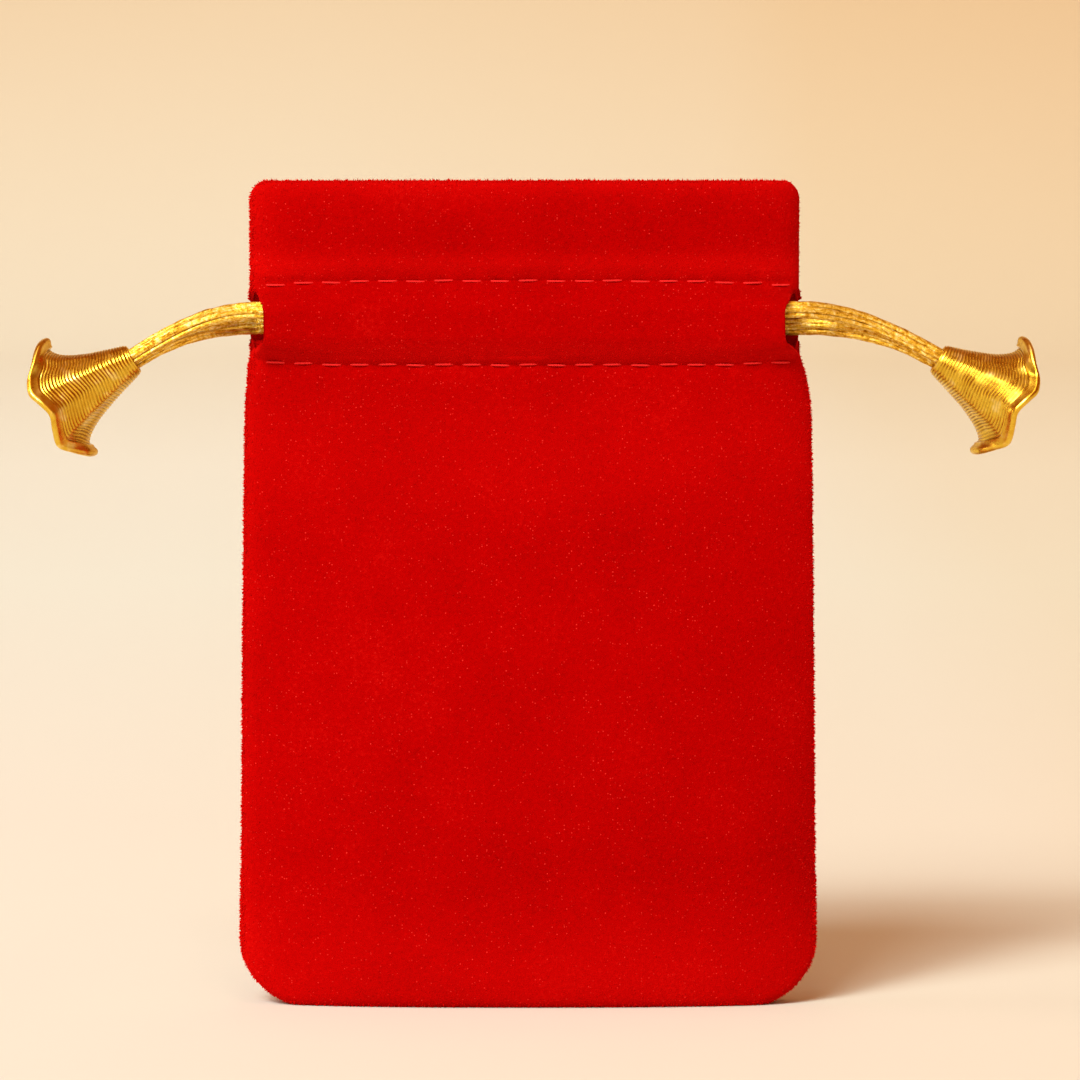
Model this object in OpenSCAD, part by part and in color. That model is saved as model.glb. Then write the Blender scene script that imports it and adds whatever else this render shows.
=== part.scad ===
// Drawstring gift pouch: two velvet panels sewn down the sides and along the base, with the top turned
// down inside and stitched twice to make a channel. Two cord loops run round the channel, one with both
// ends out at the left and one at the right, and each pair of ends is knotted inside a bell-shaped end.
// Frame: +Z up, the front faces -Y, the origin is under the middle of the base. Lengths are in mm.

/* [Pouch] */
// Height of the finished pouch
pouch_h = 180; // [120:1:240]
// Width across the base
base_w = 125.8; // [90:0.1:180]
// Width across the neck and the header
neck_w = 120.2; // [86:0.1:172]
// Front to back at the fullest part of the belly
belly_d = 28; // [20:0.5:40]
// Front to back of the flat strip that it stands on
foot_d = 18; // [12:0.5:30]
// Radius of the bottom corners
corner_r = 13; // [5:0.5:25]
// Radius of the top corners
top_corner_r = 3.3; // [1:0.1:8]
// Thickness of the velvet, ground cloth and pile
cloth_t = 1.1; // [0.8:0.1:1.6]

/* [Channel] */
// Height of the header above the channel
header_h = 21.6; // [12:0.1:35]
// Height of the drawstring channel between its stitch rows
channel_h = 18.2; // [14:0.1:25]
// Clear depth inside each tunnel of the channel
tunnel_d = 5.8; // [5.4:0.1:9]
// Gap between the two facings at the mouth
mouth_gap = 5.1; // [4.5:0.1:12]
// How far the front slit's folded edge stands in from the pouch's side
front_slit_inset = 3.5; // [1:0.1:6]
// How far the back slit's folded edge stands in from the pouch's side
back_slit_inset = 0.3; // [0.3:0.1:6]
// Height of the facing below the lower stitch row
facing_hem = 3; // [2:0.5:8]

/* [Seams] */
// Distance from one channel stitch to the next
stitch_pitch = 6.1; // [3:0.1:8]
// Visible length of a channel stitch
stitch_l = 4.6; // [2:0.1:6]
// Diameter of the sewing thread
thread_d = 0.5; // [0.3:0.05:0.8]
// Distance from one seam stitch to the next
seam_pitch = 5; // [2.5:0.5:8]
// Width of the seam allowances turned inside
allowance = 6.5; // [4:0.5:9]

/* [Cords] */
// Height of a flat cord strand
cord_h = 4; // [3:0.1:4.4]
// Thickness of a flat cord strand
cord_t = 2.3; // [1.8:0.1:2.4]
// From the middle of the pouch to the throat of the left bell
left_reach = 86; // [78:0.5:95]
// From the middle of the pouch to the throat of the right bell
right_reach = 89.3; // [78:0.1:95]
// How far the bell throats hang below the middle of the channel
throat_drop = 8.1; // [4:0.1:14]
// Diameter of the knot that holds each bell
knot_d = 8.4; // [6.5:0.1:9]

/* [Bells] */
// Length of a bell from throat to mouth
bell_l = 19.5; // [15:0.5:24]
// Mean diameter of the bell's lip
mouth_d = 22.8; // [18:0.2:30]
// Outer diameter of the rolled throat
throat_d = 7; // [6.8:0.1:8]
// Bore of the throat
bore_d = 5.9; // [5.8:0.05:6.4]
// Wall thickness of a bell
bell_wall = 0.7; // [0.5:0.05:1]
// How far a bell's axis points below the horizontal
bell_tilt = 30; // [15:1:60]
// How far the four petals of the lip are drawn back
petal = 1.8; // [0:0.1:2.2]

/* [Hidden] */
velvet = [0.72, 0.02, 0.03];
thread_red = [0.80, 0.20, 0.20];
gold = [0.83, 0.62, 0.24];
base_half = base_w / 2;
neck_half = neck_w / 2;
half_t = cloth_t / 2;
// Where the two panels' cloths lie against each other they stay this far from the middle plane
clear = 0.15;
// Middle of a cloth that lies against the middle plane
lie = clear + half_t;
row_up = pouch_h - header_h;
row_low = row_up - channel_h;
chan_z = (row_up + row_low) / 2;
front_slit = neck_half - front_slit_inset;
back_slit = neck_half - back_slit_inset;
// Depths from the middle plane: the facing in the tunnel, the tunnel's face, and both at a stitch row
facing_y = mouth_gap / 2 + half_t;
tunnel_y = facing_y + cloth_t + tunnel_d;
row_facing_y = facing_y + 1.2;
row_y = row_facing_y + cloth_t + 0.2;
// The facing's edge stands in from the face's edge, and the face closes over it. In the tunnel it ends
// short of the cords' bights.
facing_inset = 2.5;
edge_y = lie + 0.75;
hem_z = row_low - facing_hem;
widest_z = 45;
belly_y = belly_d / 2 - half_t;
foot_y = foot_d / 2 - half_t;

// Half width of the pouch's outline at a height
outline = [[0, base_half], [88, base_half - 0.7], [132, base_half - 1.4], [row_low, neck_half + 0.2],
    [chan_z, neck_half - 0.4], [row_up, neck_half], [pouch_h, neck_half]];
function side(z) = lookup(z, outline);

// Shares of the depth that the cloth keeps on its way out to a side: a lens, or a flatter form at the neck
function lens(f) = pow(max(0, 1 - pow(f, 2.6)), 0.75);
function flat_form(f) = pow(max(0, 1 - pow(f, 5)), 0.6);
function eased(a, b, s) = a + (b - a) * (1 - cos(180 * s)) / 2;

// Depth of the outer face's cloth from the foot up to the neck, at the middle of the pouch
function wall_y(z) = z < widest_z
    ? eased(foot_y + 2.9, belly_y, 0.5 + 0.5 * z / widest_z) - (widest_z - z) * 0.02
    : eased(belly_y, row_y + 0.5, (z - widest_z) / (row_low - 1 - widest_z));

// What a row of the panel is: turned-in base allowance, closed side, side with an allowance, tunnel face,
// facing, or the facing's face of the tunnel
BASE = 0;
CLOSED = 1;
SEAMED = 2;
TUNNEL = 3;
FACING = 4;
FACING_TUNNEL = 5;
// Rows of one panel, from the raw edge inside the base, out along the foot, up the face, over the top and
// down the facing: [depth at the middle, height, depth at the side, what it is]
rows = concat(
    [[lie, 7, 0.2, BASE], [lie, 4, 0.28, BASE], [lie, 1.5, 0.36, BASE]],
    [[1.15, 0.75, 0.5, CLOSED], [1.7, half_t, 0.6, CLOSED], [foot_y * 0.3, half_t, 0.75, CLOSED]],
    [[foot_y * 0.6, half_t, 0.95, CLOSED], [foot_y * 0.9, half_t, 1.15, CLOSED]],
    [[foot_y + 0.3, half_t + 0.1, edge_y - 0.1, CLOSED], [foot_y + 2, 1.5, edge_y, CLOSED]],
    [[foot_y + 2.8, 3.6, edge_y, CLOSED], [wall_y(8), 8, edge_y, CLOSED], [wall_y(17), 17, edge_y, CLOSED]],
    [for (z = [27 : 13 : 131]) [wall_y(z), z, edge_y, SEAMED]],
    [[row_y + 0.2, row_low - 2.6, edge_y, CLOSED], [row_y, row_low, edge_y, CLOSED]],
    [[tunnel_y - 0.6, row_low + 3, 0, TUNNEL], [tunnel_y, chan_z - 3, 0, TUNNEL]],
    [[tunnel_y, chan_z + 3, 0, TUNNEL], [tunnel_y - 0.6, row_up - 3, 0, TUNNEL]],
    [[row_y, row_up, edge_y, CLOSED], [row_y + 0.8, row_up + 4, edge_y, CLOSED]],
    [[row_y + 1, row_up + 10, edge_y, CLOSED], [row_y + 0.6, pouch_h - 4, edge_y, CLOSED]],
    [[row_y, pouch_h - 1.2, edge_y, CLOSED], [row_y - 0.8, pouch_h - half_t, edge_y - 0.2, CLOSED]],
    [[row_facing_y - 0.1, pouch_h - 1.2, lie + 0.1, FACING], [row_facing_y - 0.5, pouch_h - 4, lie, FACING]],
    [[row_facing_y - 0.6, row_up + 8, lie, FACING], [row_facing_y, row_up, lie, FACING]],
    [[facing_y, row_up - 3, 0, FACING_TUNNEL], [facing_y, chan_z, 0, FACING_TUNNEL]],
    [[facing_y, row_low + 3, 0, FACING_TUNNEL], [row_facing_y, row_low, lie, FACING]],
    [[row_facing_y + 0.1, hem_z, lie, FACING]]);
// Columns of one panel across the pouch: [signed share of the half width, step round into the allowance]
half_cols = [[0.13, 0], [0.26, 0], [0.39, 0], [0.52, 0], [0.64, 0], [0.75, 0], [0.84, 0], [0.91, 0],
    [0.96, 0], [1, 0], [1, 1], [1, 2]];
last_col = len(half_cols) - 1;
cols = concat([for (i = [last_col : -1 : 0]) [-half_cols[i][0], half_cols[i][1]]], [[0, 0]], half_cols);

function rise(x) = corner_r - sqrt(max(0, pow(corner_r, 2) - pow(max(0, x - base_half + corner_r), 2)));
function drop(x) = top_corner_r
    - sqrt(max(0, pow(top_corner_r, 2) - pow(max(0, x - neck_half + top_corner_r), 2)));
function is_open(kind) = kind == TUNNEL || kind == FACING_TUNNEL;

// Share of its middle depth that a row keeps at a share f of the half width
function kept(f, row) = is_open(row[3]) ? 1
    : row[3] == BASE ? 1 - pow(f, 8)
    : let(s = max(0, min(1, (row[1] - 95) / (row_low - 95)))) eased(lens(f), flat_form(f), s);

function half_at(row, slit) = row[3] == TUNNEL ? slit
    : row[3] == FACING_TUNNEL ? bight_x - inner_y + 0.6
    : row[3] == FACING ? side(row[1]) - facing_inset
    : side(row[1]) - half_t;

// Place of the cloth's middle at one column and one row, in a quarter with x and depth positive
function cloth_at(f, k, row, slit) = let(
    y0 = row[2] + (row[0] - row[2]) * kept(f, row),
    open_y = is_open(row[3]) ? row[0] : y0,
    half = half_at(row, slit),
    out = row[3] == SEAMED ? [0, -0.65, -allowance][k]
        : row[3] == TUNNEL || row[3] == FACING_TUNNEL ? 0.15 * k
        : row[3] == FACING ? 0.3 * k : 0,
    y = k == 0 ? open_y
        : row[3] == SEAMED ? lie
        : row[3] >= TUNNEL ? open_y
        : clear + (y0 - clear) * [1, 0.5, 0.05 + 0.35 * max(0, 1 - row[1] / 16)][k],
    low = (rise(f * base_half) + pow(f, 8) * row[2] * 0.8) * max(0, 1 - row[1] / 40),
    high = drop(f * neck_half) * max(0, (row[1] - pouch_h + 12) / 12),
    turned = row[3] == BASE ? (row[1] - half_t) * (1 - pow(f, 8)) + half_t : row[1])
    [f * half + out, y, turned + low - high];

function unit(v) = v / norm(v);

// One panel: both faces of the cloth round the grid of its middle
module panel(slit) {
    m = len(cols);
    n = len(rows);
    middle = [for (c = cols) [for (row = rows)
        let(p = cloth_at(abs(c[0]), c[1], row, slit))
        [c[0] < 0 ? -p[0] : p[0], -p[1], p[2]]]];
    across = [for (i = [0 : m - 1]) [for (j = [0 : n - 1])
        unit(cross(middle[min(i + 1, m - 1)][j] - middle[max(i - 1, 0)][j],
            middle[i][min(j + 1, n - 1)] - middle[i][max(j - 1, 0)]))]];
    points = [for (s = [1, -1]) for (i = [0 : m - 1]) for (j = [0 : n - 1])
        middle[i][j] + across[i][j] * s * half_t];
    behind = m * n;
    faces = concat(
        [for (i = [0 : m - 2]) for (j = [0 : n - 2]) for (t = [0, 1])
            let(a = i * n + j) t == 0 ? [a, a + n + 1, a + n] : [a, a + 1, a + n + 1]],
        [for (i = [0 : m - 2]) for (j = [0 : n - 2]) for (t = [0, 1])
            let(a = behind + i * n + j) t == 0 ? [a, a + n, a + n + 1] : [a, a + n + 1, a + 1]],
        [for (i = [0 : m - 2]) for (t = [0, 1])
            let(a = i * n) t == 0 ? [a, a + n, a + n + behind] : [a, a + n + behind, a + behind]],
        [for (i = [0 : m - 2]) for (t = [0, 1])
            let(a = i * n + n - 1) t == 0 ? [a, a + n + behind, a + n] : [a, a + behind, a + n + behind]],
        [for (j = [0 : n - 2]) for (t = [0, 1])
            let(a = j) t == 0 ? [a, a + behind + 1, a + 1] : [a, a + behind, a + behind + 1]],
        [for (j = [0 : n - 2]) for (t = [0, 1])
            let(a = (m - 1) * n + j) t == 0 ? [a, a + 1, a + behind + 1] : [a, a + behind + 1, a + behind]]);
    polyhedron(points = points, faces = faces);
}

// A stitch: a short length of thread between two points
module stitch(a, b) {
    v = b - a;
    turn = acos(v[2] / norm(v));
    translate(a)
        rotate([0, turn, atan2(v[1], v[0])])
            cylinder(d = thread_d, h = norm(v), $fn = 16);
}

// Depth of a stitch row's outer and inner faces at x
function row_face(x, z) = let(f = abs(x) / (side(z) - half_t))
    edge_y + (row_y - edge_y) * flat_form(f) + half_t;
function row_back(x, z) = let(f = abs(x) / (side(z) - facing_inset))
    lie + (row_facing_y - lie) * flat_form(f) - half_t;

// A row of channel stitching on one panel, dashes on its face and on its facing
module stitch_row(z, sign_y) {
    reach = neck_half - facing_inset - stitch_l / 2;
    count = floor(reach / stitch_pitch);
    for (i = [-count : count]) {
        x = i * stitch_pitch;
        x1 = x - stitch_l / 2;
        x2 = x + stitch_l / 2;
        stitch([x1, sign_y * row_face(x1, z), z], [x2, sign_y * row_face(x2, z), z]);
        stitch([x1, sign_y * row_back(x1, z), z], [x2, sign_y * row_back(x2, z), z]);
    }
}

// Stitches that pass through both side allowances, and through all four layers above the slit
module side_seam(sign_x) {
    through = lie + half_t + 0.3;
    for (z = [28 : seam_pitch : 130])
        stitch([sign_x * (side(z) - 2.6), -through, z], [sign_x * (side(z) - 2.6), through, z]);
    for (z = [row_up + 3 : seam_pitch : pouch_h - 6])
        stitch([sign_x * (side(z) - 3.2), -through, z], [sign_x * (side(z) - 3.2), through, z]);
}

// Stitches that pass through both base allowances
module base_seam() {
    through = lie + half_t + 0.3;
    count = floor((base_half - corner_r) / seam_pitch);
    for (i = [-count : count])
        stitch([i * seam_pitch, -through, 2.6], [i * seam_pitch, through, 2.6]);
}

// The outer cord lies against the tunnel's face and the inner cord against the facing, so they never cross
// inside. Depth of each layer, and the place where the outer cord starts to pass the inner one's exit.
inner_y = mouth_gap / 2 + cloth_t + 0.2 + cord_t / 2;
outer_y = inner_y + cord_t + 0.4;
bight_x = 56.4;
// Height of a strand above the middle of the channel: front strand high, back strand low
front_z = 2.85;
back_z = -1.25;
// Past the other cord the outer cord dips at the front and rises at the back
dip_z = -2.2;
lift_z = 3.4;
// The pair's middle between the slit and the bell, by share of the way: [share, height over the channel]
sag = [[0, 0.8], [0.25, 0.6], [0.5, -0.8], [0.75, -3.8], [1, -throat_drop]];
shares = [1, 0.8, 0.6, 0.4, 0.2, 0];
// Strands side by side inside the throat: offset across the pair, up or down and front or back
throat_up = 0.65;
throat_y = 1.1;
throat_squeeze = 0.9;
strand_end = 6.5;
// Share of the way to the bell by which the two strands have come together
meet = 0.6;
knot_at = 9.5;

// Route of one strand from inside its bell to the slit, x counted towards its own bell, s -1 front, 1 back
function tail(reach, layer, s) = concat(
    [for (d = [strand_end, 2.5])
        [reach + d * cos(bell_tilt) - s * throat_up * sin(bell_tilt), s * throat_y,
            -throat_drop - d * sin(bell_tilt) - s * throat_up * cos(bell_tilt), throat_squeeze]],
    [for (f = shares)
        let(near = (1 + cos(180 * f)) / 2,
            apart = (1 + cos(180 * min(1, f / meet))) / 2,
            exit_z = (s < 0 ? front_z : back_z) - sag[0][1])
        [front_slit + (reach - front_slit) * f - s * throat_up * sin(bell_tilt) * f,
            s * (throat_y + (layer - throat_y) * apart),
            lookup(f, sag) + exit_z * near - s * throat_up * cos(bell_tilt) * (1 - near),
            1 - (1 - throat_squeeze) * f]]);

// Route of one strand through the pouch to the far bight
function inside(layer, s, rest, end) = let(turn_x = bight_x - layer, from = turn_x - 16)
    [for (x = [40, 20, 0, -18, -from, -from - 5, -from - 11, -turn_x])
        [x, s * layer, eased(rest, end, max(0, min(1, (-x - from) / 16))), 1]];

// The bight turns round from the front tunnel to the back one
function bight(layer, low, high) = let(turn_x = bight_x - layer)
    [for (a = [22.5, 45, 70, 90, 110, 135, 157.5])
        [-turn_x - layer * sin(a), -layer * cos(a),
            eased(low, high, max(0, min(1, 0.5 - layer * cos(a) / 5.4))), 1]];

function reversed(list) = [for (i = [len(list) - 1 : -1 : 0]) list[i]];
function route(reach, layer, low, high) = concat(
    tail(reach, layer, -1), inside(layer, -1, front_z, low), bight(layer, low, high),
    reversed(inside(layer, 1, back_z, high)), reversed(tail(reach, layer, 1)));

// One flat strand swept along a route of [x, y, z, size], with eight sides
module strand(path) {
    last = len(path) - 1;
    sides = 8;
    at = [for (p = path) [p[0], p[1], p[2]]];
    points = [for (i = [0 : last]) let(
        along = unit(at[min(i + 1, last)] - at[max(i - 1, 0)]),
        out = unit(cross(along, [0, 0, 1])),
        up = cross(out, along))
        for (k = [0 : sides - 1]) let(a = 360 * (k + 0.5) / sides)
            at[i] + path[i][3] * (out * cord_t / 2 * cos(a) + up * cord_h / 2 * sin(a)) / cos(180 / sides)];
    walls = [for (i = [0 : last - 1]) for (k = [0 : sides - 1]) for (t = [0, 1]) let(
        a = i * sides + k,
        b = i * sides + (k + 1) % sides)
        t == 0 ? [a, b, b + sides] : [a, b + sides, a + sides]];
    ends = [[for (k = [sides - 1 : -1 : 0]) k], [for (k = [0 : sides - 1]) last * sides + k]];
    polyhedron(points = points, faces = concat(walls, ends));
}

// A whole cord with its knot. It is drawn with its bell towards +X, and mirrored for the left.
module drawcord(reach, layer, low, high) {
    translate([0, 0, chan_z]) {
        strand(route(reach, layer, low, high));
        translate([reach + knot_at * cos(bell_tilt), 0, -throat_drop - knot_at * sin(bell_tilt)])
            sphere(d = knot_d, $fn = 24);
    }
}

// Outer face of a bell from its throat to its lip: [share of its length, share of its mean lip radius]
flare = [[0.12, 0.325], [0.3, 0.43], [0.45, 0.53], [0.6, 0.64], [0.72, 0.74], [0.83, 0.85], [0.92, 0.94], [1, 1]];
// The petals at the top, bottom and both sides are drawn back and spread, and the lip runs forward between
// them. The angle a is 0 at the bottom.
function drawn(a) = petal * (cos(4 * a) + 1.1 * cos(2 * a) - 0.7 * cos(a));
function spread(a) = petal * (0.31 * cos(4 * a) + 0.28 * cos(2 * a) + 0.14 * cos(a));
function flare_at(p, a) = [p[0] * bell_l - drawn(a) * pow(p[0], 4), p[1] * mouth_d / 2 + spread(a) * pow(p[0], 4)];

// A bell with its throat at the origin and its mouth towards +Z
module bell() {
    around = 48;
    m = len(flare);
    n = 2 * m + 1;
    points = [for (k = [0 : around - 1]) let(
        a = 360 * k / around,
        outer = [for (p = flare) flare_at(p, a)],
        along = [for (j = [0 : m - 1]) unit(outer[min(j + 1, m - 1)] - outer[max(j - 1, 0)])],
        inner = [for (j = [0 : m - 1]) outer[j] - bell_wall * [-along[j][1], along[j][0]]],
        edge = (outer[m - 1] + inner[m - 1]) / 2 + 0.35 * along[m - 1],
        profile = concat(outer, [edge], [for (j = [m - 1 : -1 : 0]) inner[j]]))
        for (p = profile) [p[1] * cos(a), p[1] * sin(a), p[0]]];
    faces = [for (k = [0 : around - 1]) for (j = [0 : n - 1]) for (t = [0, 1]) let(
        a = k * n + j,
        b = k * n + (j + 1) % n,
        c = ((k + 1) % around) * n + (j + 1) % n,
        d = ((k + 1) % around) * n + j)
        t == 0 ? [a, b, c] : [a, c, d]];
    polyhedron(points = points, faces = faces);
    rotate_extrude($fn = 48)
        polygon([[bore_d / 2, 0.3], [bore_d / 2 + 0.2, 0], [throat_d / 2 - 0.1, 0], [throat_d / 2 + 0.1, 0.3],
            [throat_d / 2 + 0.1, 0.9], [throat_d / 2 - 0.1, 1.3], [throat_d / 2 + 0.05, 2.9],
            [bore_d / 2, 2.9]]);
}

module hung_bell(reach, sign_x) {
    translate([sign_x * reach, 0, chan_z - throat_drop])
        rotate([0, sign_x * (90 + bell_tilt), 0])
            bell();
}

module front_panel() {
    color(velvet)
        panel(front_slit);
}

module back_panel() {
    color(velvet)
        mirror([0, 1, 0])
            panel(back_slit);
}

module upper_stitch_front() {
    color(thread_red)
        stitch_row(row_up, -1);
}

module lower_stitch_front() {
    color(thread_red)
        stitch_row(row_low, -1);
}

module upper_stitch_back() {
    color(thread_red)
        stitch_row(row_up, 1);
}

module lower_stitch_back() {
    color(thread_red)
        stitch_row(row_low, 1);
}

module left_side_seam() {
    color(thread_red)
        side_seam(-1);
}

module right_side_seam() {
    color(thread_red)
        side_seam(1);
}

module bottom_seam() {
    color(thread_red)
        base_seam();
}

module left_cord() {
    color(gold)
        mirror([1, 0, 0])
            drawcord(left_reach, outer_y, dip_z, lift_z);
}

module right_cord() {
    color(gold)
        drawcord(right_reach, inner_y, front_z, back_z);
}

module left_bell() {
    color(gold)
        hung_bell(left_reach, -1);
}

module right_bell() {
    color(gold)
        hung_bell(right_reach, 1);
}

front_panel();
back_panel();
upper_stitch_front();
lower_stitch_front();
upper_stitch_back();
lower_stitch_back();
left_side_seam();
right_side_seam();
bottom_seam();
left_cord();
right_cord();
left_bell();
right_bell();
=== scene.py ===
import math

import bmesh
import bpy
import numpy as np
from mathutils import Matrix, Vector


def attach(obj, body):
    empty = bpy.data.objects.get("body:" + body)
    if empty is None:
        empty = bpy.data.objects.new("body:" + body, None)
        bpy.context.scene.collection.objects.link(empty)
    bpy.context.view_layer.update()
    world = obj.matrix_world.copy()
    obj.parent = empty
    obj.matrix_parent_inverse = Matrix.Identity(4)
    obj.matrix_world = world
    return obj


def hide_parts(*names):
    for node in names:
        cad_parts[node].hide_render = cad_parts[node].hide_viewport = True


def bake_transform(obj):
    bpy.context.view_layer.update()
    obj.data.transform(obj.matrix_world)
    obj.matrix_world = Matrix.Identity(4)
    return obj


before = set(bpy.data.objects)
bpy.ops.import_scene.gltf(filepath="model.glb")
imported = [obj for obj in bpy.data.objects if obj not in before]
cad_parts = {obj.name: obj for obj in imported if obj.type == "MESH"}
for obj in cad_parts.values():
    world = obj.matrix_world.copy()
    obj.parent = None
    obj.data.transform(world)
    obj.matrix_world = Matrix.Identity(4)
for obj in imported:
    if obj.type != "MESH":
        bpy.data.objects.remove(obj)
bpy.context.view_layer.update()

SCENE = bpy.context.scene
MM = 0.001

# ------------------------ sizes, in millimetres
# They are those of part.scad, apart from some that are closer to the photo here: CLEAR and what follows
# from it, the back slit, the top corners, the lean of the neck, and how far in the bights turn.
POUCH_H = 180.0
BASE_HALF = 62.9
NECK_HALF = 60.1
CLOTH_T = 1.1
HALF_T = CLOTH_T / 2
CLEAR = 0.02
LIE = CLEAR + HALF_T
CORNER_R = 13.0
TOP_CORNER_R = 2.7
LEAN_LEFT, LEAN_RIGHT = 0.25, 1.2
ROW_UP = 158.4
ROW_LOW = 140.2
CHAN_Z = (ROW_UP + ROW_LOW) / 2
FRONT_SLIT = 56.6
BACK_SLIT = 60.3
FACING_Y = 3.1
TUNNEL_Y = 10.0
ROW_FACING_Y = 4.3
ROW_Y = 5.6
EDGE_Y = LIE + 0.75
FOOT_Y = 8.45
BELLY_Y = 13.45
WIDEST_Z = 45.0
NECK_START = 95.0
ALLOWANCE = 6.5
HEM_Z = ROW_LOW - 3.0
FACING_INSET = 2.5
STITCH_PITCH = 6.1
STITCH_L = 4.6
CORD_H = 4.0
CORD_T = 2.3
LEFT_REACH = 86.0
RIGHT_REACH = 89.3
THROAT_DROP = 8.1
BELL_TILT = math.radians(30)
BELL_AXIS = np.array([math.cos(BELL_TILT), 0, -math.sin(BELL_TILT)])
BELL_UP = np.array([math.sin(BELL_TILT), 0, math.cos(BELL_TILT)])
INNER_Y = 5.0
OUTER_Y = 7.7
BIGHT_X = 56.4
LEFT_BIGHT_IN, RIGHT_BIGHT_IN = 1.7, 0.8
KNOT_AT = 9.5
CORD_STEP = 0.45


# ------------------------ camera, first
def look_at(obj, target):
    obj.rotation_euler = (Vector(target) - obj.location).to_track_quat("-Z", "Y").to_euler()


VIEW_CENTRE = (0.0026, 0.0, 0.1016)
VIEW_WIDTH = 0.2359
CAMERA_DISTANCE = 1.7
CAMERA_RISE = math.radians(4.0)
cam_data = bpy.data.cameras.new("camera")
cam_data.sensor_width = 36.0
cam_data.lens = cam_data.sensor_width * CAMERA_DISTANCE / VIEW_WIDTH
cam_data.clip_end = 20.0
cam = bpy.data.objects.new("camera", cam_data)
SCENE.collection.objects.link(cam)
cam.location = (VIEW_CENTRE[0], -CAMERA_DISTANCE * math.cos(CAMERA_RISE),
                VIEW_CENTRE[2] + CAMERA_DISTANCE * math.sin(CAMERA_RISE))
look_at(cam, VIEW_CENTRE)
SCENE.camera = cam


# ------------------------ small helpers
def eased(a, b, s):
    return a + (b - a) * (1 - np.cos(np.pi * np.clip(s, 0, 1))) / 2


def smooth(s):
    s = np.clip(s, 0, 1)
    return s * s * (3 - 2 * s)


def pchip(t, v, q):
    """Monotone cubic through the points (t, v), at q."""
    t, v = np.asarray(t, float), np.asarray(v, float)
    h = np.diff(t)
    d = np.diff(v) / h
    m = np.zeros_like(v)
    m[1:-1] = np.where(d[:-1] * d[1:] > 0,
                       2 * d[:-1] * d[1:] / np.where(np.abs(d[:-1] + d[1:]) > 1e-12, d[:-1] + d[1:], 1), 0)
    m[0], m[-1] = d[0], d[-1]
    k = np.clip(np.searchsorted(t, q) - 1, 0, len(h) - 1)
    s = (q - t[k]) / h[k]
    return ((1 + 2 * s) * (1 - s) ** 2 * v[k] + s * (1 - s) ** 2 * h[k] * m[k]
            + s * s * (3 - 2 * s) * v[k + 1] + s * s * (s - 1) * h[k] * m[k + 1])


def unit(v):
    return v / np.maximum(np.linalg.norm(v, axis=-1, keepdims=True), 1e-12)


# large odd numbers that scramble a lattice point into a repeatable number
MIX_X, MIX_Y, MIX_Z, MIX_SEED, MIX_AGAIN = 374761393, 668265263, 2147483647, 144665, 1274126177
WORD = 0xFFFFFFFF


def value_noise(x, y, z, seed):
    """Smooth repeatable noise from -1 to 1 at the points (x, y, z), numbers or arrays."""
    p = np.stack(np.broadcast_arrays(x, y, z), -1).astype(float)
    base = np.floor(p).astype(np.int64)
    f = p - base
    f = f * f * (3 - 2 * f)
    total = np.zeros(p.shape[:-1])
    for dx in (0, 1):
        for dy in (0, 1):
            for dz in (0, 1):
                c = base + np.array([dx, dy, dz])
                mixed = c[..., 0] * MIX_X + c[..., 1] * MIX_Y + c[..., 2] * MIX_Z + seed * MIX_SEED
                h = mixed & WORD
                h = ((h ^ (h >> 13)) * MIX_AGAIN) & WORD
                r = ((h ^ (h >> 16)) & 0xFFFF) / 32767.5 - 1
                w = ((f[..., 0] if dx else 1 - f[..., 0]) * (f[..., 1] if dy else 1 - f[..., 1])
                     * (f[..., 2] if dz else 1 - f[..., 2]))
                total += r * w
    return total


# points are welded on a lattice with this many steps a millimetre, and edges past this angle stay sharp
WELD_STEPS = 2e4
SHARP_ANGLE = math.radians(55)


def make_mesh(name, verts, faces, material, uvs=None, weld=True):
    """A smooth mesh object from points in millimetres, with its faces outward.

    It is welded unless it has uvs, which give one pair for each vertex, or weld is off."""
    verts = np.asarray(verts, float)
    if uvs is None and weld:
        _, first, place = np.unique(np.round(verts * WELD_STEPS).astype(np.int64), axis=0, return_index=True,
                                    return_inverse=True)
        verts = verts[first]
        place = place.ravel()
        faces = [[int(place[i]) for i in face] for face in faces]
    mesh = bpy.data.meshes.new(name)
    mesh.from_pydata((verts * MM).tolist(), [], [list(map(int, f)) for f in faces])
    mesh.validate()
    if uvs is not None:
        layer = mesh.uv_layers.new(name="UVMap")
        loops = np.zeros(len(mesh.loops), np.int32)
        mesh.loops.foreach_get("vertex_index", loops)
        layer.data.foreach_set("uv", np.asarray(uvs, float)[loops].ravel())
    bm = bmesh.new()
    bm.from_mesh(mesh)
    bmesh.ops.recalc_face_normals(bm, faces=bm.faces)
    bm.to_mesh(mesh)
    bm.free()
    mesh.polygons.foreach_set("use_smooth", [True] * len(mesh.polygons))
    mesh.set_sharp_from_angle(angle=SHARP_ANGLE)
    mesh.materials.append(material)
    obj = bpy.data.objects.new(name, mesh)
    SCENE.collection.objects.link(obj)
    return obj


def grid_faces(m, n, start):
    """Quads of an m by n grid of vertices, the second index running fastest, from vertex start on."""
    i, j = np.meshgrid(np.arange(m - 1), np.arange(n - 1), indexing="ij")
    a = (i * n + j).ravel()
    return np.stack([a, a + n, a + n + 1, a + 1], 1) + start


def ring_faces(n, sides):
    """Quads and end caps of a tube of n rings."""
    i, j = np.meshgrid(np.arange(n - 1), np.arange(sides), indexing="ij")
    quads = np.stack([i * sides + j, i * sides + (j + 1) % sides, (i + 1) * sides + (j + 1) % sides,
                      (i + 1) * sides + j], -1).reshape(-1, 4)
    return quads.tolist() + [list(range(sides))[::-1], list(range((n - 1) * sides, n * sides))]


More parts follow.
